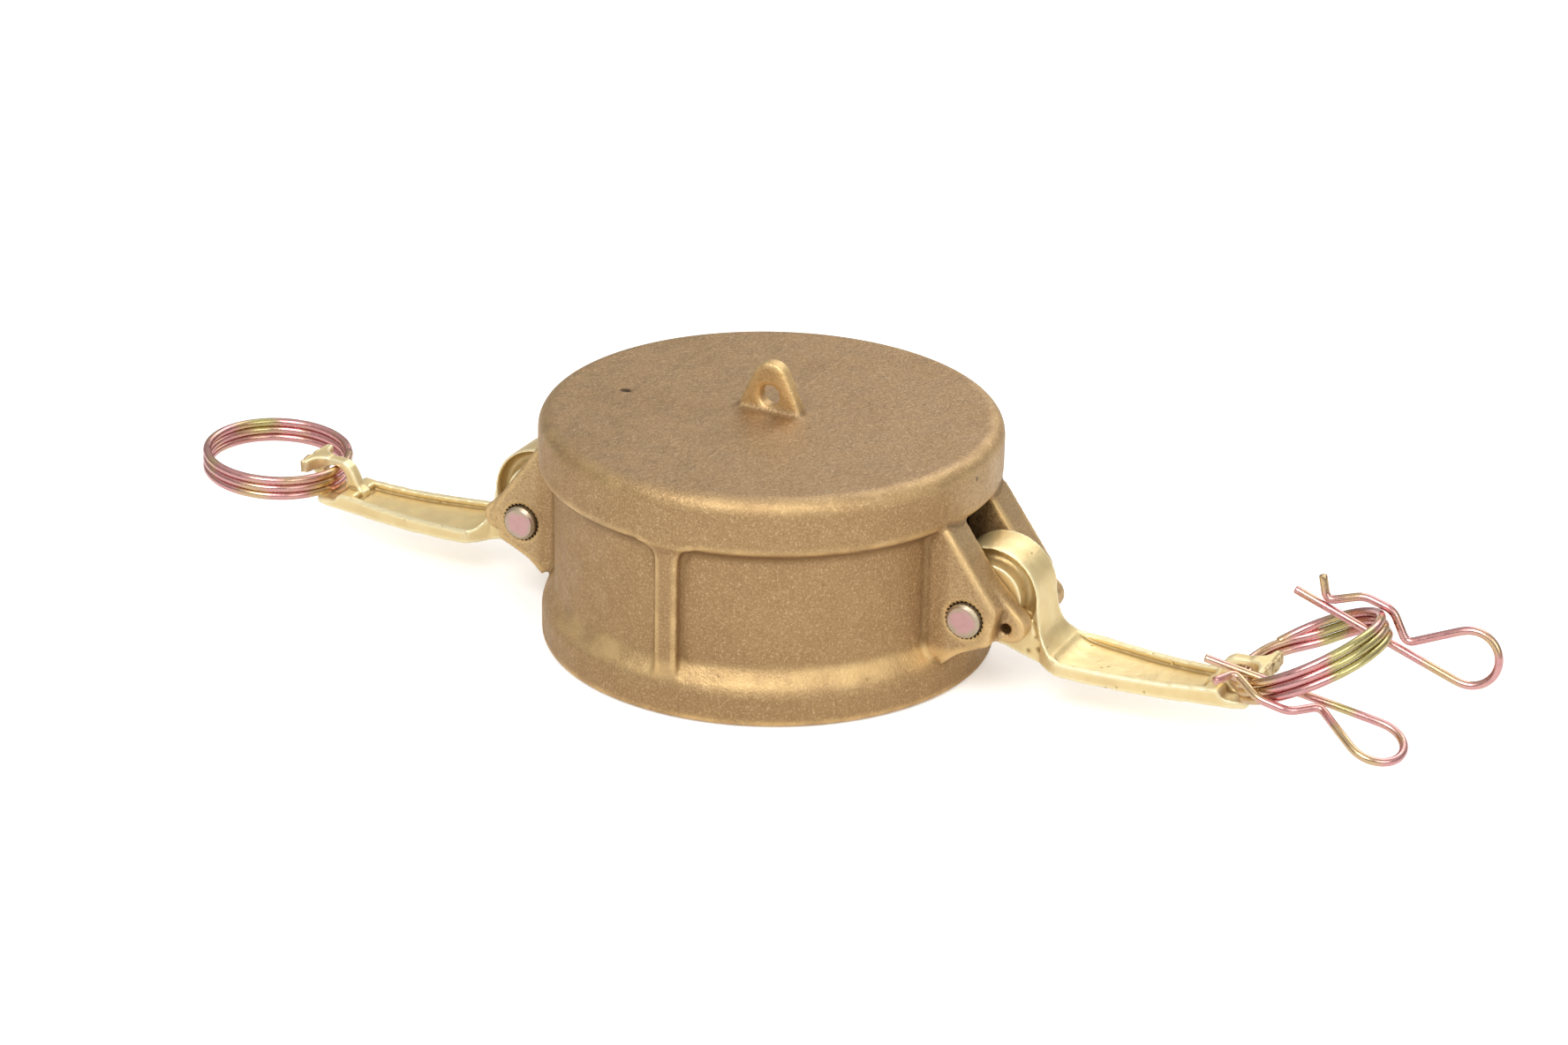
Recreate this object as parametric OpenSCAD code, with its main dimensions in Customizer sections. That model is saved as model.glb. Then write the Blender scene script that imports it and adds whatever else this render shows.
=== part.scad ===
// Camlock dust cap for a 3 inch male adapter, cast in brass.
// It lies on its mouth with both cam arms swung open. The origin is the centre of the mouth rim,
// +Z points at the closed end, the arms lie along X and the mould's parting line along Y.

/* [Cap body] */
// Outer diameter of the thick collar round the closed end
collar_d = 105; // [104:0.5:108]
// Height from the mouth rim to the flat lid
cap_h = 54; // [53:0.5:57]
// Bore that slides over the adapter
bore_d = 92.2; // [92:0.1:92.6]
// Outer diameter of the recessed waist
waist_d = 97.8; // [97.4:0.2:98.6]
// Outer diameter of the band at the mouth
band_d = 103.6; // [102.6:0.2:104]
// Diameter across the crests of the two upright ribs
rib_d = 102.8; // [102:0.1:103.2]
// Height of the collar
collar_h = 13.4; // [12.6:0.2:14]
// Thickness of the lid over the gasket
lid_t = 5.5; // [5:0.1:6]
// Width of the upright rib on the parting line
rib_w = 5.3; // [4.5:0.1:6.5]

/* [Gasket] */
// Thickness of the rubber gasket
gasket_t = 6.35; // [6:0.05:6.4]
// Hole through the gasket
gasket_hole_d = 76.2; // [74:0.2:78]
// Outer diameter of the gasket
gasket_d = 95; // [94.4:0.1:95.4]
// Gap all round between the gasket and its groove
gasket_gap = 0.2; // [0.15:0.05:0.3]

/* [Ears and pins] */
// Distance of each hinge pin from the axis of the cap
pin_x = 55.7; // [55.5:0.1:56.2]
// Height of the hinge pins above the mouth rim
pin_z = 21.1; // [20.8:0.1:21.6]
// Diameter of the hinge pins
pin_d = 7.94; // [7.6:0.02:8.2]
// Clear width between the two ears of a pair
slot_w = 14; // [13.8:0.1:14.6]
// Thickness of one ear
ear_t = 9.4; // [8.6:0.1:10]
// Thickness of the small clip lug at an ear's tip
lug_t = 4.6; // [4:0.1:5.4]
// Hole for a safety clip in each lug
lug_hole_d = 2.6; // [2.4:0.1:3]
// How far a pin stands proud of each ear
pin_proud = 1.3; // [0.8:0.1:1.8]

/* [Cam arms] */
// Gap on each side between an arm's hub and the ears
arm_gap = 0.5; // [0.4:0.05:0.8]
// Running clearance of an arm on its pin, on the radius
pin_play = 0.08; // [0.05:0.01:0.1]
// Radius of the cam lobe
lobe_r = 11.3; // [11:0.1:11.5]
// Width of the rim round the cam lobe
lobe_w = 11; // [10.4:0.1:11.4]
// Width of the handle next to the cam
handle_w = 19; // [18:0.2:20]
// Thickness of the fin that carries the pull ring
fin_t = 3; // [2.6:0.1:3.4]

/* [Pull rings] */
// Diameter of the ring wire
ring_wire = 2; // [1.9:0.02:2]
// Mean diameter of a ring's turns
ring_d = 33.8; // [33:0.2:35]
// Distance from one turn to the next
ring_pitch = 1.85; // [1.8:0.01:1.86]
// Free room round the turns in the fin's hole, on the radius
ring_play = 0.35; // [0.3:0.01:0.4]
// How far the right ring is raised from level
ring_tilt_right = 29.5; // [24:0.5:32]
// How far the left ring is raised from level
ring_tilt_left = 4; // [2:0.5:8]

/* [Safety clips] */
// Diameter of the clip wire
clip_wire = 1.7; // [1.5:0.05:1.75]
// Length of a clip's straight leg
clip_leg = 40; // [38:0.5:42]
// Radius of the loop at a clip's closed end
clip_loop_r = 6.2; // [5.8:0.1:6.4]
// Height of the bowed leg over the straight leg
clip_bow = 6.9; // [6.8:0.05:7.1]

/* [Lid eye] */
// Height of the chain eye above the lid
eye_h = 12; // [11:0.5:13]
// Hole in the chain eye
eye_hole_d = 5; // [4:0.1:5.4]
// Thickness of the chain eye
eye_t = 3.6; // [3:0.1:4.4]

/* [Hidden] */
$fn = 96;
blast_brass = [0.74, 0.60, 0.41];
bright_brass = [0.91, 0.80, 0.52];
zinc_pink = [0.80, 0.60, 0.55];
black_rubber = [0.10, 0.10, 0.10];

// Heights on the body
collar_z = cap_h - collar_h;
lid_z = cap_h - lid_t;
groove_slack = 0.15;
groove_z = lid_z - gasket_t - groove_slack;
groove_d = gasket_d + 2 * gasket_gap;
band_z = 8.6;
band_slope = 3.4;
collar_fillet = 2;
lid_round = 3.6;
rib_corner = 4;
slot_z = 10.2;
ear_top_z = collar_z + 0.6;
inside_wall_x = -11.7;
lug_middle = [8.9, -2.1];
lug_r = 3.6;
lug_hole = [7.9, -2.4];

// The hole in the fin clears the three turns of the ring
ring_r = ring_d / 2;
stack_half = ring_pitch + ring_wire / 2;
fin_hole_r = stack_half + ring_play;
fin_hole = [59.7, -6.8];
lobe_centre = [1.6, 2.2];
hub_w = slot_w - 2 * arm_gap;
pocket_r = 9.1;
pocket_wire_r = 1.6;

// Places on a clip, along and across its straight leg
clip_kink = [26.5, 1.9];
clip_heel = [7.2, 1.3];
clip_end = [3.7, 6.3];
clip_bend_r = 1.8;
bend_step = 0.05;

// How each clip grips the right ring: angle round the ring, its turns there and the gripping point
front_turn = -109.5;
front_lie = [48, 113.2, -5];
front_grip = [14.3, 3.56];
rear_turn = 31.2;
rear_lie = [22.9, 46.3, -35.9];
rear_grip = [20.1, 3.36];

// A curve through the points, with the given number of steps between two of them
function along(a, b, c, d, t) =
    0.5 * (2 * b + (c - a) * t + (2 * a - 5 * b + 4 * c - d) * t * t
           + (3 * b - a - 3 * c + d) * t * t * t);
function curve(p, steps) = [
    for (i = [0 : len(p) - 2], k = [0 : steps - 1])
        along(p[max(i - 1, 0)], p[i], p[i + 1], p[min(i + 2, len(p) - 1)], k / steps),
    p[len(p) - 1]
];
function arc(centre, r, from, to, steps) = [
    for (i = [0 : steps]) let (a = from + (to - from) * i / steps)
        centre + r * [cos(a), sin(a)]
];

// Side outlines are drawn in the plane of X and Z and given a width along Y
module across(width) {
    rotate([90, 0, 0]) translate([0, 0, -width / 2]) linear_extrude(width) children();
}

// The same on both sides of the middle plane, from one distance to another
module both_sides(near, far) {
    for (side = [-1, 1])
        translate([0, side * (near + far) / 2, 0]) across(far - near) children();
}

module body_shell() {
    lid_corner = arc([collar_d / 2 - lid_round, cap_h - lid_round], lid_round, 0, 90, 8);
    rotate_extrude() polygon(concat(
        [[0, 0], [band_d / 2 - 1, 0], [band_d / 2 - 0.3, 0.3], [band_d / 2, 1]],
        [[band_d / 2, collar_z], [collar_d / 2, collar_z]],
        lid_corner, [[0, cap_h]]));
}

// The waist is cut back between the band and the collar, but not at the two ribs
module waist_cut() {
    outer = collar_d;
    top_fillet = arc([collar_d / 2 - collar_fillet, collar_z + collar_fillet],
                     collar_fillet, 0, -75, 5);
    difference() {
        rotate_extrude() polygon(concat(
            [[waist_d / 2, band_z + band_slope + 1.2], [waist_d / 2 + 0.5, band_z + band_slope]],
            [[band_d / 2 - 0.6, band_z + 0.4], [band_d / 2 + 0.1, band_z - 0.8]],
            [[outer, band_z - 0.8], [outer, collar_z + collar_fillet]],
            top_fillet,
            [[waist_d / 2 + 0.6, collar_z - 0.9], [waist_d / 2, collar_z - 2.2]]));
        rib_block();
    }
}

module rib_block() {
    across(2 * collar_d) difference() {
        translate([-rib_w / 2 - rib_corner, 0]) square([rib_w + 2 * rib_corner, cap_h]);
        panel_edge();
        mirror([1, 0]) panel_edge();
    }
}

// The rounded edge of the waist panel on one side of a rib
module panel_edge() {
    low = band_z - 2;
    high = collar_z + 0.1;
    translate([rib_w / 2, low + rib_corner])
        square([2 * rib_corner, high - low - 2 * rib_corner]);
    translate([rib_w / 2 + rib_corner, low]) square([rib_corner, high - low]);
    for (z = [low + rib_corner, high - rib_corner])
        translate([rib_w / 2 + rib_corner, z]) circle(rib_corner);
}

module rib_trim() {
    difference() {
        cylinder(d = 2 * collar_d, h = collar_z - 1);
        translate([0, 0, -1]) cylinder(d = rib_d, h = collar_z + 1);
        cylinder(d = 3 * collar_d, h = band_z - 1);
    }
}

module ear_outline() {
    polygon(concat(
        [[inside_wall_x, ear_top_z - pin_z], [-4.7, ear_top_z - pin_z], [7.5, 3]],
        curve([[7.5, 3], [7.1, 0.8], [6.4, -2], [6, -5.4]], 3),
        curve([[6, -5.4], [2.4, -7], [-1.5, -8.9], [-5.2, -12.1]], 3),
        [[-9.4, -9], [inside_wall_x, -9]]));
}

module lug_outline() {
    polygon([[0, 8], [3.5, 8.4], [10.6, 1.1], [8.9, -2.1], [7.5, -5.4], [2, -7]]);
    translate(lug_middle) circle(lug_r);
}

module ear_pair() {
    translate([pin_x, 0, pin_z]) {
        both_sides(slot_w / 2, slot_w / 2 + ear_t) ear_outline();
        both_sides(slot_w / 2, slot_w / 2 + lug_t) lug_outline();
    }
}

module slot_and_holes() {
    translate([pin_x + inside_wall_x - 2, -slot_w / 2, slot_z])
        cube([30, slot_w, collar_z - 0.1 - slot_z]);
    translate([pin_x, 0, pin_z]) {
        across(4 * slot_w) circle(d = pin_d);
        translate([lug_hole[0], 0, lug_hole[1]]) across(4 * slot_w) circle(d = lug_hole_d);
    }
}

module lid_eye() {
    foot = 8.1;
    top_r = 4.3;
    translate([0, 0, cap_h]) difference() {
        union() {
            across(eye_t) {
                polygon(concat([[-foot, -1], [foot, -1]],
                    curve([[foot, 0], [6.7, 3.2], [5.3, 6.4], [top_r * 0.98, eye_h - 3.4]], 3),
                    curve([[-top_r * 0.98, eye_h - 3.4], [-5.3, 6.4], [-6.7, 3.2], [-foot, 0]], 3)));
                translate([0, eye_h - top_r]) circle(top_r);
            }
            translate([-foot, -eye_t / 2 - 0.8, -1]) cube([2 * foot, eye_t + 1.6, 1.4]);
        }
        translate([0, 0, 4]) across(3 * eye_t) circle(d = eye_hole_d);
    }
}

module cap_body() {
    color(blast_brass) difference() {
        union() {
            difference() {
                body_shell();
                waist_cut();
                rib_trim();
            }
            intersection() {
                union() {
                    ear_pair();
                    rotate([0, 0, 180]) ear_pair();
                }
                cylinder(d = 2 * collar_d, h = ear_top_z);
            }
            lid_eye();
        }
        translate([0, 0, -1]) cylinder(d = bore_d, h = groove_z + 1.5);
        translate([0, 0, -0.01]) cylinder(d1 = bore_d + 1.6, d2 = bore_d, h = 0.9);
        translate([0, 0, groove_z]) cylinder(d = groove_d, h = lid_z - groove_z);
        slot_and_holes();
        rotate([0, 0, 180]) slot_and_holes();
    }
}

module gasket() {
    color(black_rubber) translate([0, 0, lid_z - gasket_t]) difference() {
        cylinder(d = gasket_d, h = gasket_t);
        translate([0, 0, -1]) cylinder(d = gasket_hole_d, h = gasket_t + 2);
    }
}

module hinge_pin() {
    long = slot_w + 2 * ear_t + 2 * pin_proud;
    chamfer = 0.6;
    color(zinc_pink) translate([pin_x, long / 2, pin_z]) rotate([90, 0, 0]) {
        cylinder(d1 = pin_d - 2 * chamfer, d2 = pin_d, h = chamfer);
        translate([0, 0, chamfer]) cylinder(d = pin_d, h = long - 2 * chamfer);
        translate([0, 0, long - chamfer])
            cylinder(d1 = pin_d, d2 = pin_d - 2 * chamfer, h = chamfer);
    }
}

// Side outline of the neck and handle, with the hinge pin at the origin
handle_top = [[8, 6], [11.6, 4.6], [12.9, 1.8], [13.3, -1.1], [13.9, -3.7], [14.9, -5.9],
              [16.7, -7.9], [19.3, -9], [28.3, -9.3], [36.3, -9.5], [44.3, -9.3],
              [52.3, -8.7], [55.4, -8.4]];
handle_nose = [[56.2, -8.9], [56.8, -9.9], [57.8, -10.3], [62, -10.3], [62.7, -11],
               [62.1, -12]];
handle_under = [[62.1, -12], [54.3, -12.5], [44.3, -12.9], [36.3, -12.9], [28.3, -12.6],
                [18.1, -12.1], [11.7, -10.7], [5.8, -8.8], [0, -8]];
tray_floor = [[16.2, -4.5], [16.8, -7.2], [18.3, -9.2], [20.5, -10.3], [24, -10.8],
              [28.3, -11], [36.3, -11.2], [44.3, -11], [50.5, -10.6], [53.4, -10.3]];

// Half widths of the handle along its length
half_widths = [[8, lobe_w / 2], [12.3, lobe_w / 2], [14.3, 6.6], [17.3, 8.6],
               [20.3, handle_w / 2], [28.3, handle_w / 2 - 0.5], [36.3, handle_w / 2 - 1.4],
               [44.3, 7.2], [52.3, 6.4], [60.3, 6], [62.9, 4.6]];
tray_inset = 1.7;
tray_widths = [for (p = half_widths) if (p[0] > 14 && p[0] < 60) [p[0], p[1] - tray_inset]];

module plan(widths) {
    line = curve(widths, 3);
    linear_extrude(80, center = true)
        polygon(concat(line, [for (i = [len(line) - 1 : -1 : 0]) [line[i][0], -line[i][1]]]));
}

module lobe_outline() {
    difference() {
        union() {
            translate(lobe_centre) circle(lobe_r);
            circle(8.8);
        }
        translate([-28.5, -20]) square([20, 40]);
    }
}

module hub_outline() {
    difference() {
        union() {
            circle(8.8);
            translate(lobe_centre) circle(7.7);
        }
        translate([-28.5, -20]) square([20, 40]);
    }
}

// The neck's cheeks run from the hub down into the handle
module cheek_outline() {
    polygon([[0, 8], [7.4, 5.6], [9.8, 2.4], [11.8, -2.2], [13.2, -5.6], [15.2, -8.6],
             [17, -10.4], [16, -11.6], [11.7, -10.7], [5.8, -8.8], [0, -8]]);
}

module fin_outline() {
    polygon([[51.4, -9], [53, -7.6], [54.3, -4.9], [55.4, -3.2], [57, -2.2], [66.2, -1.7],
             [66.6, -2.1], [66.2, -4.9], [63.6, -9.6], [62.7, -11], [62.1, -12],
             [54, -12.3], [51.4, -11.6]]);
}

// Seen from above, the fin widens into the rough stub where the casting's feeder was cut off
module fin_flare() {
    flare = curve([[61.6, fin_t / 2], [63, 2.1], [64, 3.6], [64.5, 6]], 4);
    polygon(concat(flare, [[66.3, 6.1], [66.7, 2.4], [66.4, -1.5], [66.2, -5.9]],
                   [for (i = [len(flare) - 1 : -1 : 0]) [flare[i][0], -flare[i][1]]]));
}

module side_pocket(side) {
    translate([lobe_centre[0], 0, lobe_centre[1]]) rotate([-90, 0, 0])
        rotate([0, 0, -115]) rotate_extrude(angle = 138) {
            translate([pocket_r, side * (lobe_w / 2 - 0.9)]) circle(pocket_wire_r, $fn = 32);
            translate([pocket_r - pocket_wire_r, side > 0 ? lobe_w / 2 - 0.9 : -lobe_w])
                square([2 * pocket_wire_r, lobe_w / 2 + 0.9]);
        }
}

module arm_raw() {
    intersection() {
        across(60) polygon(concat(curve(handle_top, 3), handle_nose,
                                  curve(handle_under, 3), [[0, 4]]));
        plan(half_widths);
    }
    across(lobe_w) lobe_outline();
    across(hub_w) hub_outline();
    across(hub_w) cheek_outline();
    across(fin_t) fin_outline();
    translate([0, 0, -4.8]) linear_extrude(3.1) fin_flare();
}

module arm() {
    color(bright_brass) difference() {
        arm_raw();
        intersection() {
            across(60) polygon(concat(curve(tray_floor, 3), [[54.6, -8], [54.6, 10], [16, 10]]));
            plan(tray_widths);
            difference() {
                cube(200, center = true);
                across(fin_t) fin_outline();
            }
        }
        side_pocket(1);
        side_pocket(-1);
        across(60) circle(r = pin_d / 2 + pin_play);
        translate([fin_hole[0], 0, fin_hole[1]]) across(2 * fin_t) circle(fin_hole_r);
    }
}

// Three turns of wire that share one middle line, with the hole in the fin at the origin
module pull_ring(tilt) {
    color(zinc_pink) rotate([0, -tilt, 0]) translate([ring_r, 0, 0])
        for (turn = [-1, 0, 1]) translate([0, 0, turn * ring_pitch])
            rotate_extrude() translate([ring_r, 0]) circle(d = ring_wire, $fn = 32);
}

// A straight piece of clip wire
module wire(from, to) {
    reach = to - from;
    translate([from[0], from[1], 0]) rotate([0, 0, atan2(reach[1], reach[0])])
        rotate([0, 90, 0]) cylinder(d = clip_wire, h = norm(reach), $fn = 24);
}

// A bend between two straight pieces, a trifle thinner so that its ends run into both
module wire_bend(centre, r, from, to) {
    run_in = 3;
    translate([centre[0], centre[1], 0]) rotate([0, 0, from - run_in])
        rotate_extrude(angle = to - from + 2 * run_in)
            translate([r, 0]) circle(d = clip_wire - bend_step, $fn = 24);
}

function heading(a, b) = atan2(b[1] - a[1], b[0] - a[0]);
function swing(a, b, c) =
    let (d = heading(b, c) - heading(a, b)) d > 180 ? d - 360 : d < -180 ? d + 360 : d;
function toward(a, b) = (b - a) / norm(b - a);

// Straight pieces along the points, with a bend of the same radius at each corner
module bent_wire(p, r) {
    last = len(p) - 1;
    cut = [for (i = [0 : last])
        i == 0 || i == last ? 0 : r * tan(abs(swing(p[i - 1], p[i], p[i + 1])) / 2)];
    for (i = [0 : last - 1])
        wire(p[i] + cut[i] * toward(p[i], p[i + 1]), p[i + 1] - cut[i + 1] * toward(p[i], p[i + 1]));
    for (i = [1 : last - 1]) {
        turn = swing(p[i - 1], p[i], p[i + 1]);
        h = heading(p[i - 1], p[i]);
        side = turn > 0 ? 1 : -1;
        start = h - side * 90;
        centre = p[i] - cut[i] * toward(p[i - 1], p[i]) - r * [cos(start), sin(start)];
        wire_bend(centre, r, min(start, start + turn), max(start, start + turn));
    }
}

// A hairpin clip in the plane of X and Z, its straight leg along X
module clip() {
    loop = [clip_leg, clip_loop_r];
    to_loop = loop - clip_kink;
    rise = atan2(to_loop[1], to_loop[0]) + asin(clip_loop_r / norm(to_loop));
    loop_last = loop + clip_loop_r * [cos(rise + 90), sin(rise + 90)];
    color(zinc_pink) rotate([90, 0, 0]) {
        wire([0, 0], [clip_leg, 0]);
        wire_bend(loop, clip_loop_r, -90, rise + 90);
        bent_wire([loop_last, clip_kink, [20.8, clip_bow], [13.9, clip_bow - 0.4],
                   clip_heel, clip_end], clip_bend_r);
    }
}

// A clip round the right ring: its angle round it, its three turns there and where it grips
module clip_on_ring(turn, lie, grip) {
    translate([pin_x + fin_hole[0], 0, pin_z + fin_hole[1]]) rotate([0, -ring_tilt_right, 0])
        translate([ring_r, 0, 0]) rotate([0, 0, turn]) translate([ring_r, 0, 0])
            rotate([lie[0], 0, 0]) rotate([0, lie[1], 0]) rotate([0, 0, lie[2]])
                translate([-grip[0], 0, -grip[1]]) clip();
}

cap_body();
gasket();
hinge_pin();  // pin_right
rotate([0, 0, 180]) hinge_pin();  // pin_left
translate([pin_x, 0, pin_z]) arm();  // arm_right
rotate([0, 0, 180]) translate([pin_x, 0, pin_z]) arm();  // arm_left
translate([pin_x + fin_hole[0], 0, pin_z + fin_hole[1]]) pull_ring(ring_tilt_right);  // ring_right
rotate([0, 0, 180]) translate([pin_x + fin_hole[0], 0, pin_z + fin_hole[1]])  // ring_left
        pull_ring(ring_tilt_left);
clip_on_ring(front_turn, front_lie, front_grip);  // clip_front
clip_on_ring(rear_turn, rear_lie, rear_grip);  // clip_rear
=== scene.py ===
"""The looks of a brass camlock dust cap with open arms, wire rings and safety clips."""

import logging
import math
from dataclasses import dataclass, field
from enum import Enum

import bpy
import numpy as np
from mathutils import Matrix, Vector

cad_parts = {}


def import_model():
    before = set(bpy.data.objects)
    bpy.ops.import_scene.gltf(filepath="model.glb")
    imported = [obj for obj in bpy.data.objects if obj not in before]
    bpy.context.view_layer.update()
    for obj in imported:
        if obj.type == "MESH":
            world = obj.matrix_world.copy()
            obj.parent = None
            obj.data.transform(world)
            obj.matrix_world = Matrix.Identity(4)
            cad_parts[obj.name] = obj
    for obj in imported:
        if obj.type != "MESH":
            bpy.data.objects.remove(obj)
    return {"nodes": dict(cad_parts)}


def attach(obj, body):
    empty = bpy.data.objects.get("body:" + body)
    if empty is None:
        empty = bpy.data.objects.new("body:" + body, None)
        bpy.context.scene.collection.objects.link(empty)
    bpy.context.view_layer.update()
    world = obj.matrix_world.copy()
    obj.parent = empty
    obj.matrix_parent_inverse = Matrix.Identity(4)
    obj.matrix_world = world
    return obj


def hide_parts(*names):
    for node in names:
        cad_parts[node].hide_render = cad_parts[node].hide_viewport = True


LOG = logging.getLogger("dust_cap")
MM = 0.001
Point = tuple[float, float, float]

# Places that the looks share with the construction, in millimetres
PIN_OUT, PIN_UP = 55.7, 21.1
FIN_HOLE = (115.4, 0.0, 14.3)
FIN_END = 122.1
RING_RADIUS = 16.9
RING_TILT = {"RIGHT": 29.5, "LEFT": 4.0}
CLIP_KINK = (26.5, 1.9)


class Side(Enum):
    """The two arms, by the way they point along X."""

    RIGHT = 1
    LEFT = -1


def soft_step(x: np.ndarray) -> np.ndarray:
    """Rises smoothly from 0 to 1 while x goes from 0 to 1.

    Args:
        x: Any values.

    Returns:
        The eased values, flat outside 0 to 1.
    """
    t = np.clip(x, 0.0, 1.0)
    return t * t * (3.0 - 2.0 * t)


def add_mesh(name: str, points: np.ndarray, faces: np.ndarray) -> bpy.types.Object:
    """Makes a smooth-shaded piece whose place is in its mesh.

    Args:
        name: The piece's name.
        points: Vertices in metres, one row each.
        faces: Corner numbers, one row for each four-sided face.

    Returns:
        The new object, linked to the scene.
    """
    mesh = bpy.data.meshes.new(name)
    mesh.from_pydata(points.tolist(), [], faces.tolist())
    mesh.update()
    mesh.shade_smooth()
    obj = bpy.data.objects.new(name, mesh)
    bpy.context.scene.collection.objects.link(obj)
    return obj


def sweep(
    path: np.ndarray, axis: Point, radius: float, sides: int = 20
) -> tuple[np.ndarray, np.ndarray]:
    """Runs a round wire along a path that stays nearly square to one axis.

    Each ring of points lies in the plane of the axis and the path's sideways direction.
    The first and last rings shrink to a point over a short domed end.

    Args:
        path: Middle line in millimetres, one row each.
        axis: Direction the path never runs along.
        radius: Radius of the wire in millimetres.
        sides: Points round the wire.

    Returns:
        Vertices in millimetres and four-sided faces.
    """
    run = np.gradient(path, axis=0)
    run /= np.linalg.norm(run, axis=1, keepdims=True)
    dome = np.radians([0.0, 12.0, 40.0, 70.0])
    reach = 0.35 * radius * (1.0 - np.sin(dome))[:, None]
    head = path[0] + 0.35 * radius * run[0] - reach * run[0]
    tail = (path[-1] - 0.35 * radius * run[-1] + reach * run[-1])[::-1]
    line = np.vstack([head, path[3:-3], tail])
    ends = 1.0 - 0.02 - 0.98 * np.clip(1.0 - np.array([0.0, 0.8, 0.96, 1.0]), 0.0, 1.0)
    size = np.concatenate([ends, np.ones(len(path) - 6), ends[::-1]])
    size[[0, -1]] = 0.001
    along = np.gradient(line, axis=0)
    along[:4], along[-4:] = run[0], run[-1]
    along /= np.linalg.norm(along, axis=1, keepdims=True)
    sideways = np.cross(np.array(axis, float), along)
    sideways /= np.linalg.norm(sideways, axis=1, keepdims=True)
    upward = np.cross(along, sideways)
    turn = np.linspace(0.0, 2.0 * np.pi, sides, endpoint=False)
    ring = np.cos(turn)[None, :, None] * sideways[:, None, :]
    ring += np.sin(turn)[None, :, None] * upward[:, None, :]
    grid = line[:, None, :] + radius * size[:, None, None] * ring
    n = len(line)
    i, j = np.meshgrid(np.arange(n - 1), np.arange(sides), indexing="ij")
    k = (j + 1) % sides
    faces = np.stack([i * sides + j, (i + 1) * sides + j, (i + 1) * sides + k, i * sides + k], -1)
    return grid.reshape(-1, 3), faces.reshape(-1, 4)


def moved(points: np.ndarray, place: Matrix) -> np.ndarray:
    """Puts millimetre points in place.

    Args:
        points: One row each, in millimetres.
        place: Their place, also in millimetres.

    Returns:
        The points in metres.
    """
    m = np.array(place)
    return (points @ m[:3, :3].T + m[:3, 3]) * MM


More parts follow.
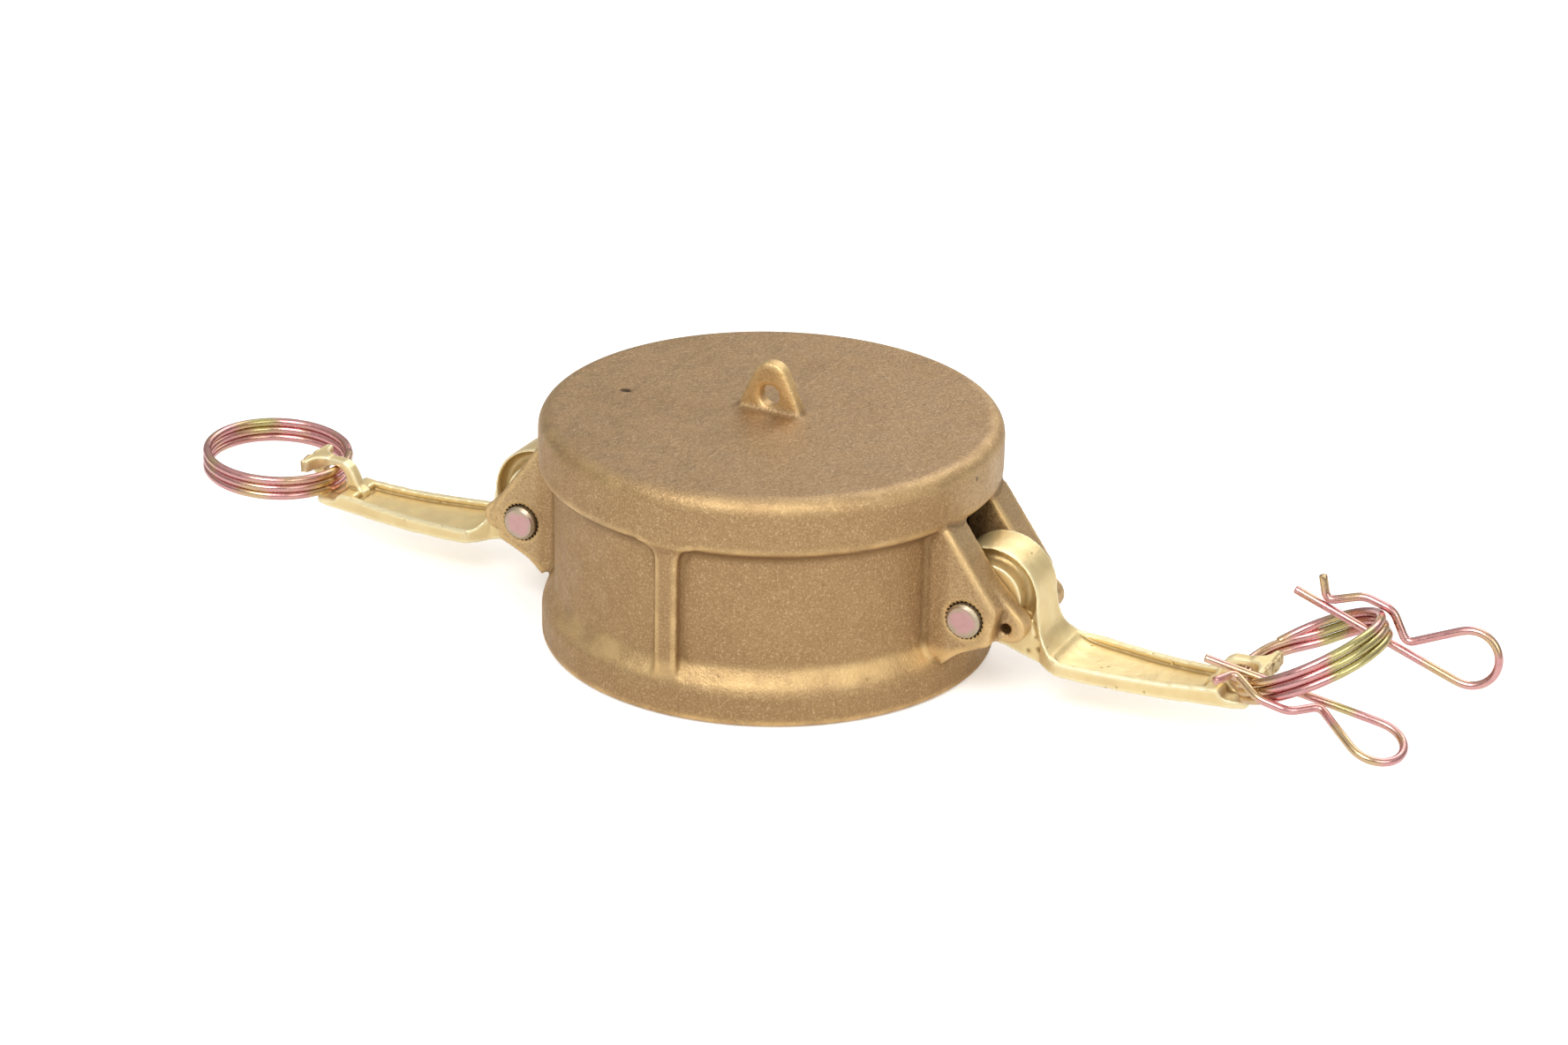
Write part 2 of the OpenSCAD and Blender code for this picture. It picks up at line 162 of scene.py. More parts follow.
class Shader:
    """Adds shader nodes to one material in reading order."""

    def __init__(self, name: str) -> None:
        self.material = bpy.data.materials.new(name + "_look")
        self.material.use_nodes = True
        self.tree = self.material.node_tree
        self.surface = self.tree.nodes["Principled BSDF"]
        self.place = self.tree.nodes.new("ShaderNodeTexCoord").outputs["Object"]

    def plug(self, value: object, socket: bpy.types.NodeSocket) -> None:
        """Links a socket, or sets a plain value.

        Args:
            value: A socket or a value.
            socket: Where it goes.
        """
        if isinstance(value, bpy.types.NodeSocket):
            self.tree.links.new(value, socket)
        else:
            socket.default_value = value

    def math(self, kind: str, a: object, b: object = 0.0) -> bpy.types.NodeSocket:
        """One sum on numbers.

        Args:
            kind: Name of the sum.
            a: First number or socket.
            b: Second number or socket.

        Returns:
            The result's socket.
        """
        node = self.tree.nodes.new("ShaderNodeMath")
        node.operation = kind
        self.plug(a, node.inputs[0])
        self.plug(b, node.inputs[1])
        return node.outputs[0]

    def distance(self, a: object, b: object) -> bpy.types.NodeSocket:
        """Square root of the sum of two squares.

        Args:
            a: First number or socket.
            b: Second number or socket.

        Returns:
            The result's socket.
        """
        squares = self.math("ADD", self.math("POWER", a, 2.0), self.math("POWER", b, 2.0))
        return self.math("POWER", squares, 0.5)

    def noise(self, size_mm: float, detail: float = 3.0, rough: float = 0.55) -> bpy.types.NodeSocket:
        """Cloudy noise on the piece.

        Args:
            size_mm: Size of its largest patches.
            detail: Octaves of finer patches.
            rough: Strength of the finer patches.

        Returns:
            The noise's value.
        """
        node = self.tree.nodes.new("ShaderNodeTexNoise")
        self.plug(self.place, node.inputs["Vector"])
        node.inputs["Scale"].default_value = 1.0 / (size_mm * MM)
        node.inputs["Detail"].default_value = detail
        node.inputs["Roughness"].default_value = rough
        return node.outputs["Fac"]

    def spots(self, size_mm: float) -> bpy.types.NodeSocket:
        """Distance from the nearest of many scattered spots.

        Args:
            size_mm: Usual distance between spots.

        Returns:
            The distance's socket, in spot sizes.
        """
        node = self.tree.nodes.new("ShaderNodeTexVoronoi")
        self.plug(self.place, node.inputs["Vector"])
        node.inputs["Scale"].default_value = 1.0 / (size_mm * MM)
        return node.outputs["Distance"]

    def fade(
        self, value: object, low: float, high: float, start: float = 0.0, end: float = 1.0
    ) -> bpy.types.NodeSocket:
        """Turns one range into another, smoothly and held at both ends.

        Args:
            value: What is faded.
            low: Value that gives start.
            high: Value that gives end.
            start: Result at low.
            end: Result at high.

        Returns:
            The result's socket.
        """
        node = self.tree.nodes.new("ShaderNodeMapRange")
        node.interpolation_type = "SMOOTHSTEP"
        for socket, number in zip(node.inputs, (value, low, high, start, end)):
            self.plug(number, socket)
        return node.outputs[0]

    def blend(self, amount: object, a: object, b: object) -> bpy.types.NodeSocket:
        """Blends two colours.

        Args:
            amount: Share of the second one.
            a: First colour.
            b: Second colour.

        Returns:
            The colour's socket.
        """
        node = self.tree.nodes.new("ShaderNodeMix")
        node.data_type = "RGBA"
        self.plug(amount, node.inputs[0])
        for value, socket in ((a, node.inputs[6]), (b, node.inputs[7])):
            self.plug((*value, 1.0) if isinstance(value, tuple) else value, socket)
        return node.outputs[2]

    def attribute(self, name: str) -> bpy.types.NodeSocket:
        """A value stored on the mesh.

        Args:
            name: The attribute's name.

        Returns:
            The value's socket.
        """
        node = self.tree.nodes.new("ShaderNodeAttribute")
        node.attribute_name = name
        return node.outputs["Fac"]

    def axes(self) -> tuple[bpy.types.NodeSocket, ...]:
        """The place on the piece.

        Returns:
            The sockets for x, y and z in metres.
        """
        node = self.tree.nodes.new("ShaderNodeSeparateXYZ")
        self.plug(self.place, node.inputs[0])
        return tuple(node.outputs)

    def relief(self, height: object, depth_mm: float) -> None:
        """Gives the surface a fine relief.

        Args:
            height: Height from 0 to 1.
            depth_mm: Height difference of a full step.
        """
        node = self.tree.nodes.new("ShaderNodeBump")
        node.inputs["Strength"].default_value = 1.0
        node.inputs["Distance"].default_value = depth_mm * MM
        self.plug(height, node.inputs["Height"])
        if self.surface.inputs["Normal"].is_linked:
            self.plug(self.surface.inputs["Normal"].links[0].from_socket, node.inputs["Normal"])
        self.plug(node.outputs[0], self.surface.inputs["Normal"])

    def finish(self, color: object, metallic: object, roughness: object) -> bpy.types.Material:
        """Sets the surface.

        Args:
            color: Base colour.
            metallic: Share of metal.
            roughness: Roughness.

        Returns:
            The material.
        """
        for name, value in (("Base Color", color), ("Metallic", metallic), ("Roughness", roughness)):
            value = (*value, 1.0) if isinstance(value, tuple) else value
            self.plug(value, self.surface.inputs[name])
        return self.material


@dataclass(frozen=True)
class BlastedBrass:
    """Sand-blasted cast brass: dull, cloudy, edges brighter by wear and painted highlight, corners
    darker by painted shade.
    """

    name: str = "cast_brass"
    face: Point = (0.455, 0.288, 0.138)
    cloud: Point = (0.39, 0.242, 0.118)
    edge: Point = (0.85, 0.60, 0.28)
    dark_specks_and_crease_shade: Point = (0.22, 0.125, 0.05)
    lid: Point = (0.475, 0.314, 0.170)
    ear_painted_light: Point = (0.60, 0.415, 0.215)
    painted_glint: Point = (0.92, 0.71, 0.42)

    def build(self) -> bpy.types.Material:
        """Makes the material.

        Returns:
            The material.
        """
        s = Shader(self.name)
        x, y, z = s.axes()
        on_lid = s.fade(z, 0.0525, 0.0540)
        color = s.blend(on_lid, self.face, self.lid)
        # Painted light: the ears, past 50 mm out along X, are made lighter as if more strongly lit.
        color = s.blend(s.fade(s.math("ABSOLUTE", x), 0.0500, 0.0525, 0.0, 0.8), color, self.ear_painted_light)
        color = s.blend(s.fade(s.noise(18, 3.0), 0.42, 0.68, 0.0, 0.3), color, self.cloud)
        grit = s.noise(0.48, 3.0, 0.7)
        color = s.blend(s.fade(grit, 0.52, 0.40, 0.0, 0.32), color, self.dark_specks_and_crease_shade)
        # Painted glints: light specks where the fine grit is high stand in for the blasted surface's
        # sparkle.
        color = s.blend(s.fade(grit, 0.54, 0.68, 0.0, 0.38), color, self.painted_glint)
        # Edge wear and painted highlight: convex edges, found from the bend, take the pale edge colour
        # in patches.
        wear_and_highlight_patches = s.fade(s.noise(7, 4.0), 0.32, 0.68, 0.35, 1.0)
        bend_wear_highlight_shade = s.attribute("bend")
        color = s.blend(s.math("MULTIPLY", s.fade(bend_wear_highlight_shade, 0.53, 0.69, 0.0, 0.75), wear_and_highlight_patches), color, self.edge)
        # Painted shade: concave corners and creases darken towards the dark colour.
        color = s.blend(s.fade(bend_wear_highlight_shade, 0.48, 0.36, 0.0, 0.6), color, self.dark_specks_and_crease_shade)
        # Painted highlight on the slope over the mouth band, and wear on the lid's eye.
        color = s.blend(s.math("MULTIPLY", self.eye_wear_and_band_highlight(s, x, z), wear_and_highlight_patches), color, self.edge)
        specks = s.fade(s.spots(3.1), 0.16, 0.05)
        specks = s.math("MULTIPLY", specks, s.fade(s.noise(9), 0.5, 0.62))
        pit = s.attribute("pit")
        color = s.blend(s.math("MULTIPLY", specks, 0.4), color, self.dark_specks_and_crease_shade)
        rough = s.fade(s.noise(5, 4.0), 0.3, 0.7, 0.40, 0.56)
        seam = self.seam(s, x, y)
        grain = s.math("ADD", grit, s.math("MULTIPLY", s.noise(1.7, 3.0), 1.1))
        s.relief(grain, 0.15)
        off_lid = s.fade(on_lid, 0.0, 1.0, 1.0, 0.35)
        waves = s.math("MULTIPLY", s.math("SUBTRACT", s.noise(11, 2.0), 0.5), off_lid)
        s.relief(waves, 0.30)
        s.relief(s.math("SUBTRACT", 1.0, specks), 0.10)
        s.relief(seam, 0.035)
        # Painted shade: near-black notches round each pin hole.
        knurl_gap_shade = self.knurl_gap_shade(s, x, y, z)
        color = s.blend(knurl_gap_shade, color, (0.03, 0.02, 0.012))
        # Painted shade: the pressed-in pits are filled with a near-black colour.
        color = s.blend(s.fade(pit, 0.15, 0.8, 0.0, 0.9), color, (0.07, 0.045, 0.03))
        return s.finish(color, 0.86, rough)

    @staticmethod
    def eye_wear_and_band_highlight(s: Shader, x: object, z: object) -> bpy.types.NodeSocket:
        """Where the slope over the mouth band gets a painted highlight, weaker towards the left, and
        where the lid's eye is worn bright.

        Args:
            s: Where the nodes go.
            x: Place along X.
            z: Height.

        Returns:
            How strong the band's painted highlight and the eye's wear are.
        """
        # Painted highlight on the upward slope over the mouth band, fading towards the left.
        slope = s.math("MULTIPLY", s.fade(z, 0.0072, 0.0100), s.fade(z, 0.0145, 0.0118, 0.0, 0.7))
        slope = s.math("MULTIPLY", slope, s.fade(x, -0.045, -0.018, 0.25, 1.0))
        return s.math("ADD", slope, s.fade(z, 0.0543, 0.0560, 0.0, 0.65))

    @staticmethod
    def seam(s: Shader, x: object, y: object) -> bpy.types.NodeSocket:
        """The mould's thin raised line along Y, over the lid and down both ribs.

        Args:
            s: Where the nodes go.
            x: Place along X.
            y: Place along Y.

        Returns:
            The line's height.
        """
        wander = s.math("MULTIPLY", s.math("SUBTRACT", s.noise(14), 0.5), 0.0012)
        off = s.math("ABSOLUTE", s.math("SUBTRACT", x, wander))
        line = s.fade(off, 0.0006, 0.00015)
        away = s.fade(s.math("ABSOLUTE", y), 0.006, 0.009)
        broken = s.fade(s.noise(3.0), 0.3, 0.6, 0.4, 1.0)
        return s.math("MULTIPLY", s.math("MULTIPLY", line, away), broken)

    @staticmethod
    def knurl_gap_shade(s: Shader, x: object, y: object, z: object) -> bpy.types.NodeSocket:
        """Painted shade in the notches that the knurled pin has pressed into the rim of its hole.

        Args:
            s: Where the nodes go.
            x: Place along X.
            y: Place along Y.
            z: Height.

        Returns:
            How dark the painted shade is.
        """
        across = s.math("SUBTRACT", s.math("ABSOLUTE", x), PIN_OUT * MM)
        upward = s.math("SUBTRACT", z, PIN_UP * MM)
        angle = s.math("ARCTAN2", upward, across)
        reach = s.distance(across, upward)
        wave = s.math("SINE", s.math("MULTIPLY", angle, 26.0))
        limit = s.math("ADD", 0.00435, s.math("MULTIPLY", wave, 0.0003))
        inside = s.fade(s.math("SUBTRACT", limit, reach), -0.00005, 0.00008)
        return s.math("MULTIPLY", inside, s.fade(s.math("ABSOLUTE", y), 0.0150, 0.0155))


@dataclass(frozen=True)
class TumbledBrass:
    """Bright, pale cast brass of the arms, smooth with a fine orange-peel skin, with painted highlights
    on edges and painted shade in creases and pits.
    """

    name: str = "arm_brass"
    face: Point = (0.86, 0.685, 0.35)
    dull: Point = (0.74, 0.55, 0.26)
    dark_specks_and_crease_shade: Point = (0.36, 0.23, 0.08)
    edge: Point = (0.98, 0.88, 0.57)
    torn: Point = (0.50, 0.34, 0.15)

    def build(self) -> bpy.types.Material:
        """Makes the material.

        Returns:
            The material.
        """
        s = Shader(self.name)
        color = s.blend(s.fade(s.noise(9, 4.0), 0.4, 0.7, 0.0, 0.7), self.face, self.dull)
        bend = s.attribute("bend")
        # Painted highlight: convex edges of the arms take the pale edge colour.
        color = s.blend(s.fade(bend, 0.55, 0.85, 0.0, 0.7), color, self.edge)
        # Painted shade: concave corners and creases darken.
        color = s.blend(s.fade(bend, 0.46, 0.22, 0.0, 0.75), color, self.dark_specks_and_crease_shade)
        specks = s.fade(s.spots(4.2), 0.11, 0.04)
        color = s.blend(s.math("MULTIPLY", specks, 0.5), color, self.dark_specks_and_crease_shade)
        # Painted shade: the pits darken to near black.
        color = s.blend(s.fade(s.attribute("pit"), 0.2, 0.8, 0.0, 0.9), color, (0.09, 0.06, 0.03))
        x, _, _ = s.axes()
        torn = s.fade(s.math("ABSOLUTE", x), 0.1210, 0.1218)
        crumbs = s.fade(s.noise(1.2, 3.0), 0.35, 0.6, 0.35, 0.9)
        color = s.blend(s.math("MULTIPLY", torn, crumbs), color, self.torn)
        rough = s.fade(s.noise(3, 4.0), 0.3, 0.7, 0.33, 0.48)
        s.relief(s.math("MULTIPLY", s.noise(1.0, 4.0), torn), 0.35)
        s.relief(s.noise(0.8, 3.0), 0.06)
        s.relief(s.noise(5, 2.0), 0.13)
        s.relief(s.math("SUBTRACT", 1.0, specks), 0.10)
        return s.finish(color, 0.66, rough)


@dataclass(frozen=True)
class YellowZinc:
    """Drawn wire with yellow zinc plating that shimmers from pink over gold to olive."""

    name: str = "zinc_wire"
    pink: Point = (0.69, 0.36, 0.35)
    gold: Point = (0.66, 0.47, 0.27)
    olive: Point = (0.58, 0.51, 0.23)

    def build(self) -> bpy.types.Material:
        """Makes the material.

        Returns:
            The material.
        """
        s = Shader(self.name)
        color = s.blend(s.fade(s.noise(11, 1.0), 0.42, 0.62), self.pink, self.gold)
        color = s.blend(s.fade(s.noise(17, 1.0), 0.57, 0.68), color, self.olive)
        color = s.blend(s.fade(s.noise(1.3, 3.0), 0.5, 0.8, 0.0, 0.15), color, (0.25, 0.17, 0.13))
        s.relief(s.noise(0.5, 2.0), 0.01)
        return s.finish(color, 1.0, s.fade(s.noise(2, 2.0), 0.3, 0.7, 0.20, 0.34))


@dataclass(frozen=True)
class CutSteel:
    """Plated pin steel with a turned and cut end."""

    name: str = "pin_steel"
    rim: Point = (0.50, 0.42, 0.30)
    middle: Point = (0.64, 0.38, 0.37)

    def build(self) -> bpy.types.Material:
        """Makes the material.

        Returns:
            The material.
        """
        s = Shader(self.name)
        x, _, z = s.axes()
        across = s.math("SUBTRACT", s.math("ABSOLUTE", x), PIN_OUT * MM)
        reach = s.distance(across, s.math("SUBTRACT", z, PIN_UP * MM))
        edge = s.math("ADD", reach, s.math("MULTIPLY", s.math("SUBTRACT", s.noise(3), 0.5), 0.004))
        color = s.blend(s.fade(edge, 0.0036, 0.0020), self.rim, self.middle)
        s.relief(s.noise(0.6, 3.0), 0.04)
        return s.finish(color, 0.9, s.fade(s.noise(1.5), 0.3, 0.7, 0.32, 0.5))


@dataclass(frozen=True)
class MouldedRubber:
    """Matt black rubber with a dusty skin."""

    name: str = "rubber"

    def build(self) -> bpy.types.Material:
        """Makes the material.

        Returns:
            The material.
        """
        s = Shader(self.name)
        color = s.blend(s.fade(s.noise(6, 5.0), 0.4, 0.7), (0.016, 0.016, 0.017), (0.035, 0.034, 0.033))
        s.relief(s.noise(0.7, 3.0), 0.03)
        return s.finish(color, 0.0, 0.62)


@dataclass
class CastPiece:
    """A casting: the construction's solid with its edges softened as a mould leaves them."""

    node: str
    body: str
    voxel_mm: float
    passes: int
    keep: float
    pits: list[tuple[Point, float, float]] = field(default_factory=list)

    def build(self, finish: bpy.types.Material) -> bpy.types.Object:
        """Makes the piece and lets it stand for its node.

        Args:
            finish: The material.

        Returns:
            The piece.
        """
        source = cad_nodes()[self.node]
        rough = bpy.data.objects.new(self.node + "_rough", source.data.copy())
        bpy.context.scene.collection.objects.link(rough)
        weld = rough.modifiers.new("weld", "WELD")
        weld.merge_threshold = 0.00001
        remesh = rough.modifiers.new("skin", "REMESH")
        remesh.mode = "VOXEL"
        remesh.voxel_size = self.voxel_mm * MM
        smooth = rough.modifiers.new("soften", "SMOOTH")
        smooth.factor, smooth.iterations = 0.5, self.passes
        fine = self.applied(rough)
        self.press_pits(fine)
        rough.modifiers.clear()
        rough.data = fine
        thin = rough.modifiers.new("thin", "DECIMATE")
        thin.ratio = self.keep
        mesh = self.applied(rough)
        bpy.data.objects.remove(rough)
        self.store_bend(mesh)
        mesh.materials.clear()
        mesh.materials.append(finish)
        mesh.shade_smooth()
        piece = bpy.data.objects.new(self.node + "_casting", mesh)
        bpy.context.scene.collection.objects.link(piece)
        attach(piece, self.body)
        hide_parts(self.node)
        LOG.info("%s has %d faces", piece.name, len(mesh.polygons))
        return piece

    @staticmethod
    def applied(obj: bpy.types.Object) -> bpy.types.Mesh:
        """Takes an object's mesh with its modifiers worked in.

        Args:
            obj: The object.

        Returns:
            A new mesh.
        """
        graph = bpy.context.evaluated_depsgraph_get()
        return bpy.data.meshes.new_from_object(obj.evaluated_get(graph))

    @staticmethod
    def read(mesh: bpy.types.Mesh) -> tuple[np.ndarray, np.ndarray]:
        """Reads a mesh.

        Args:
            mesh: The mesh.

        Returns:
            Its points and their normals, one row each.
        """
        points = np.empty(len(mesh.vertices) * 3)
        normals = np.empty(len(mesh.vertices) * 3)
        mesh.vertices.foreach_get("co", points)
        mesh.vertex_normals.foreach_get("vector", normals)
        return points.reshape(-1, 3), normals.reshape(-1, 3)

    def depth_of_pits(self, points: np.ndarray) -> np.ndarray:
        """How deep the pits are: each one falls off as exp(-(distance / radius) squared).

        Args:
            points: One row each, in metres.

        Returns:
            The depth at each point in millimetres.
        """
        deep = np.zeros(len(points))
        for centre, radius, depth in self.pits:
            away = np.linalg.norm((points - np.array(centre) * MM) * (1.0, 1.5, 1.0), axis=1)
            away /= radius * MM
            deep += depth * np.exp(-away * away)
        return deep

    def press_pits(self, mesh: bpy.types.Mesh) -> None:
        """Presses the casting's pits into the surface.

        Args:
            mesh: The mesh that is changed.
        """
        points, normals = self.read(mesh)
        points -= (self.depth_of_pits(points) * MM)[:, None] * normals
        mesh.vertices.foreach_set("co", points.ravel())
        mesh.update()

    def store_bend(self, mesh: bpy.types.Mesh) -> None:
        """Stores how much the surface bends, 0.5 being flat, and where the pits are.

        The bend of a point is the mean, over its edges, of the change of normal along the edge, so
        edges of the casting come out above 0.5 and its corners below it.

        Args:
            mesh: The mesh that gets the two values.
        """
        points, normals = self.read(mesh)
        count = len(points)
        ends = np.empty(len(mesh.edges) * 2, int)
        mesh.edges.foreach_get("vertices", ends)
        a, b = ends.reshape(-1, 2).T
        step = points[b] - points[a]
        bend = np.einsum("ij,ij->i", normals[b] - normals[a], step)
        bend /= np.maximum(np.einsum("ij,ij->i", step, step), 1e-12)
        share = np.maximum(np.bincount(a, minlength=count) + np.bincount(b, minlength=count), 1)
        for _ in range(7):
            at_point = (np.bincount(a, bend, count) + np.bincount(b, bend, count)) / share
            bend = (at_point[a] + at_point[b]) / 2
        pit = np.clip(self.depth_of_pits(points) / 0.35, 0.0, 1.0)
        for name, value in (("bend", np.clip(0.5 + at_point * MM * 0.7, 0.0, 1.0)), ("pit", pit)):
            mesh.attributes.new(name, "FLOAT", "POINT").data.foreach_set("value", value)


@dataclass
class PullRing:
    """Three turns of wire through the fin's hole at the end of an arm."""

    side: Side
    radius: float = RING_RADIUS
    wire: float = 1.0
    spread: float = 1.99
    start: float = 60.0
    fan: float = 0.0

    def middle_line(self) -> np.ndarray:
        """The wire's middle line: three flat turns, each stepping to the next over 50 degrees.

        The turns stand a little apart, by fan, at two places between the clips and the fin.

        Returns:
            Points in millimetres in the ring's own plane, with the fin's hole at the origin.
        """
        turns = np.linspace(0.0, 3.0 * 360.0 - 14.0, 620)
        whole = np.floor(turns / 360.0)
        part = turns - 360.0 * whole
        level = whole - 1.0 + np.where(whole < 2.0, soft_step((part - 310.0) / 50.0), 0.0)
        place = (turns + self.start + 180.0) % 360.0 - 180.0
        open_front = np.exp(-(((place + 38.0) / 26.0) ** 2))
        open_back = np.exp(-(((place - 100.0) / 28.0) ** 2))
        rise = level * (self.spread + self.fan * (open_front + 0.8 * open_back))
        reach = self.radius + 0.10 * np.sin(np.radians(2.0 * turns + 40.0)) + 0.06 * (whole - 1.0)
        angle = np.radians(turns + self.start)
        return np.stack([self.radius + reach * np.cos(angle), reach * np.sin(angle), rise], 1)

    def build(self, finish: bpy.types.Material) -> bpy.types.Object:
        """Makes the ring.

        Args:
            finish: The material.

        Returns:
            The piece.
        """
        name = self.side.name.lower()
        points, faces = sweep(self.middle_line(), (0, 0, 1), self.wire)
        tilt = math.radians(RING_TILT[self.side.name])
        hole = Matrix.Translation(FIN_HOLE) @ Matrix.Rotation(-tilt, 4, "Y")
        half_turn = Matrix.Rotation(0.0 if self.side is Side.RIGHT else math.pi, 4, "Z")
        piece = add_mesh(name + "_pull_ring", moved(points, half_turn @ hole), faces)
        piece.data.materials.append(finish)
        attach(piece, name + "_ring")
        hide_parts("ring_" + name)
        return piece


@dataclass
class SafetyClip:
    """A hairpin clip bent from one wire, gripping the right pull ring."""

    name: str
    turn: float
    lie: Point
    grip: tuple[float, float]
    wire: float = 0.93
    leg: float = 40.0
    loop: float = 6.2

    def middle_line(self) -> np.ndarray:
        """The wire's middle line: a straight leg, a loop and a bowed leg with a turned-up end.

        The bowed leg's corners are rounded by a running mean along the line.

        Returns:
            Points in millimetres in the plane of X and Z.
        """
        centre = np.array([self.leg, self.loop])
        reach = centre - np.array(CLIP_KINK)
        rise = math.atan2(reach[1], reach[0]) + math.asin(self.loop / np.linalg.norm(reach))
        turn = np.linspace(-np.pi / 2, rise + np.pi / 2, 60)
        loop = centre + self.loop * np.stack([np.cos(turn), np.sin(turn)], 1)
        bow = ([20.8, 6.9], [13.9, 6.5], [7.2, 1.3], [3.7, 6.3])
        corners = np.array([[0, 0], *loop, CLIP_KINK, *bow])
        step = np.concatenate([[0], np.cumsum(np.linalg.norm(np.diff(corners, axis=0), axis=1))])
        even = np.linspace(0, step[-1], 900)
        line = np.stack([np.interp(even, step, corners[:, k]) for k in (0, 1)], 1)
        width = 33
        before = 2 * line[0] - line[width:0:-1]
        after = 2 * line[-1] - line[-2 : -width - 2 : -1]
        padded = np.vstack([before, line, after])
        mean = np.ones(width) / width
        line = np.stack([np.convolve(padded[:, k], mean, "same")[width:-width] for k in (0, 1)], 1)
        line = line[::3]
        return np.stack([line[:, 0], np.zeros(len(line)), line[:, 1]], 1)

    def build(self, finish: bpy.types.Material) -> bpy.types.Object:
        """Makes the clip.

        Args:
            finish: The material.

        Returns:
            The piece.
        """
        points, faces = sweep(self.middle_line(), (0, 1, 0), self.wire)
        steps = (
            Matrix.Translation(FIN_HOLE),
            Matrix.Rotation(math.radians(-RING_TILT["RIGHT"]), 4, "Y"),
            Matrix.Translation((RING_RADIUS, 0, 0)),
            Matrix.Rotation(math.radians(self.turn), 4, "Z"),
            Matrix.Translation((RING_RADIUS, 0, 0)),
            *(Matrix.Rotation(math.radians(a), 4, axis) for a, axis in zip(self.lie, "XYZ")),
            Matrix.Translation((-self.grip[0], 0, -self.grip[1])),
        )
        place = Matrix.Identity(4)
        for step in steps:
            place = place @ step
        piece = add_mesh(self.name + "_safety_clip", moved(points, place), faces)
        piece.data.materials.append(finish)
        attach(piece, self.name + "_clip")
        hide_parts("clip_" + self.name)
        return piece


@dataclass
class Studio:
    """White floor, soft lights and the photograph's camera."""

    target: Point = (3.37, 0.38, 27.04)
    azimuth: float = 25.82
    elevation: float = 23.62
    distance: float = 929.86
    roll: float = 1.18
    lens: float = 94.13

    def build(self) -> None:
        """Makes floor, light and camera."""
        self.floor()
        self.world()
        self.lamp("key", (0.10, -1.00, 1.00), 0.75, 11.0)
        self.lamp("fill", (1.00, -0.45, 0.60), 0.60, 3.0)
        self.lamp("back", (0.10, 0.95, 0.90), 0.80, 4.5)
        self.camera()

    def floor(self) -> None:
        """A pale floor that reads as white paper, and stays dark inside the cap."""
        bpy.ops.mesh.primitive_plane_add(size=8.0, location=(0, 0, -0.0001))
        plane = bpy.context.object
        plane.name = "paper_floor"
        s = Shader("paper")
        s.surface.inputs["Specular IOR Level"].default_value = 0.1
        seen = s.tree.nodes.new("ShaderNodeLightPath").outputs["Is Camera Ray"]
        s.surface.inputs["Emission Color"].default_value = (1.0, 1.0, 1.0, 1.0)
        x, y, _ = s.axes()
        outside = s.fade(s.distance(x, y), 0.0465, 0.0480, 0.0, 0.35)
        s.plug(s.math("MULTIPLY", seen, outside), s.surface.inputs["Emission Strength"])
        plane.data.materials.append(s.finish((0.93, 0.93, 0.93), 0.0, 0.9))

    def world(self) -> None:
        """Even light from a bright room that is darker near the horizon."""
        world = bpy.data.worlds.new("studio")
        bpy.context.scene.world = world
        world.use_nodes = True
        tree = world.node_tree
        back = tree.nodes["Background"]
        place = tree.nodes.new("ShaderNodeTexCoord")
        split = tree.nodes.new("ShaderNodeSeparateXYZ")
        ramp = tree.nodes.new("ShaderNodeMapRange")
        tree.links.new(place.outputs["Generated"], split.inputs[0])
        tree.links.new(split.outputs["Z"], ramp.inputs[0])
        for socket, number in zip(ramp.inputs[1:5], (0.05, 0.85, 0.22, 0.72)):
            socket.default_value = number
        tree.links.new(ramp.outputs[0], back.inputs["Strength"])
        back.inputs["Color"].default_value = (1.0, 0.985, 0.96, 1.0)

    @staticmethod
    def lamp(name: str, place: Point, size: float, power: float) -> None:
        """A square soft light aimed at the cap.

        Args:
            name: Its name.
            place: Where it hangs, in metres.
            size: Length of a side in metres.
            power: Power in watts.
        """
        light = bpy.data.lights.new(name, "AREA")
        light.size, light.energy = size, power
        obj = bpy.data.objects.new(name, light)
        obj.location = place
        aim = Vector((0, 0, 0.03)) - Vector(place)
        obj.rotation_euler = aim.to_track_quat("-Z", "Y").to_euler()
        bpy.context.scene.collection.objects.link(obj)

    def camera(self) -> None:
        """The camera that took the photograph."""
        a, e, r = (math.radians(v) for v in (self.azimuth, self.elevation, self.roll))
        back = Vector((math.sin(a) * math.cos(e), -math.cos(a) * math.cos(e), math.sin(e)))
        across = Vector((math.cos(a), math.sin(a), 0.0))
        upward = back.cross(across)
        right = across * math.cos(r) + upward * math.sin(r)
        up = upward * math.cos(r) - across * math.sin(r)
        data = bpy.data.cameras.new("photo_camera")
        data.lens, data.sensor_width = self.lens, 36.0
        cam = bpy.data.objects.new("photo_camera", data)
        turn = Matrix((right, up, back)).transposed().to_4x4()
        cam.matrix_world = Matrix.Translation((Vector(self.target) + back * self.distance) * MM) @ turn
        bpy.context.scene.collection.objects.link(cam)
        bpy.context.scene.camera = cam


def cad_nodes() -> dict[str, bpy.types.Object]:
    """The construction's pieces by name.

    Returns:
        One object for each node.
    """
    return FRAME["nodes"]


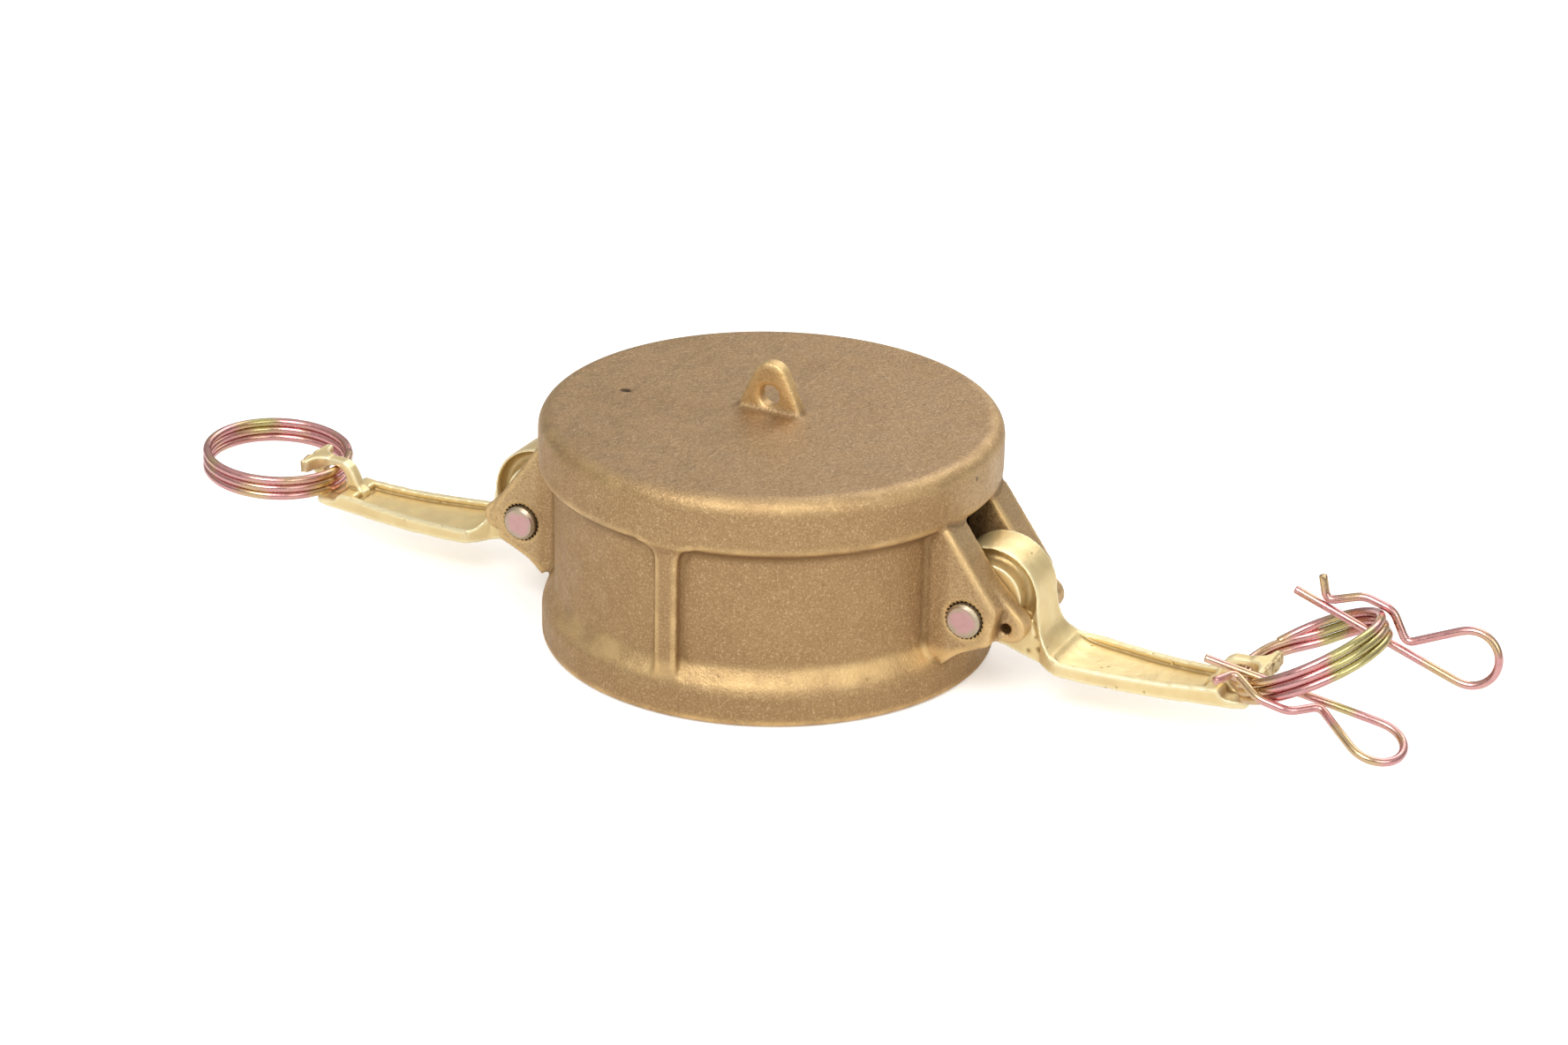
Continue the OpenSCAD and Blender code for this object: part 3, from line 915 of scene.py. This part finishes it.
def torn_end(side: Side) -> list[tuple[Point, float, float]]:
    """Small hollows over the rough end of a fin, where the casting's feeder was broken off.

    Args:
        side: Which arm.

    Returns:
        Middle, radius and depth of each hollow in millimetres.
    """
    draw = np.random.default_rng(5)
    end = FIN_END * side.value
    spots = draw.uniform((-5.6, 15.9, 0.35, 0.15), (5.6, 19.3, 0.65, 0.40), (26, 4))
    return [((end, float(y), float(z)), float(radius), float(depth)) for y, z, radius, depth in spots]


def main() -> None:
    """Builds the whole picture."""
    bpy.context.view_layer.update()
    bpy.context.scene.view_settings.view_transform = "Standard"
    blasted, tumbled = BlastedBrass().build(), TumbledBrass().build()
    wire, steel, rubber = YellowZinc().build(), CutSteel().build(), MouldedRubber().build()
    pits = [
        ((-34.7, -5.0, 54.0), 1.15, 0.8),
        ((51.6, -4.0, 49.5), 0.8, 0.5),
        ((52.6, 3.0, 45.0), 0.6, 0.35),
    ]
    arm_pits = [
        ((67.1, -6.5, 12.3), 0.5, 0.4),
        ((69.4, -6.5, 13.0), 0.5, 0.4),
        ((68.6, -6.5, 15.8), 0.45, 0.35),
    ]
    CastPiece("cap_body", "cap", 0.5, 9, 0.32, pits).build(blasted)
    for side in Side:
        name = side.name.lower()
        marks = torn_end(side) + (arm_pits if side is Side.RIGHT else [])
        CastPiece("arm_" + name, name + "_arm", 0.32, 4, 0.6, marks).build(tumbled)
    for node, finish in (("gasket", rubber), ("pin_right", steel), ("pin_left", steel)):
        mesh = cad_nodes()[node].data
        mesh.materials.clear()
        mesh.materials.append(finish)
    PullRing(Side.RIGHT, start=150.0, fan=0.14).build(wire)
    PullRing(Side.LEFT, start=230.0).build(wire)
    SafetyClip("front", -109.5, (48.0, 113.2, -5.0), (14.3, 3.56)).build(wire)
    SafetyClip("rear", 31.2, (22.9, 46.3, -35.9), (20.1, 3.36)).build(wire)
    Studio().build()


if __name__ == "__main__":
    logging.basicConfig(level=logging.INFO, format="%(name)s %(message)s")
    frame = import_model()
    FRAME = frame
    main()
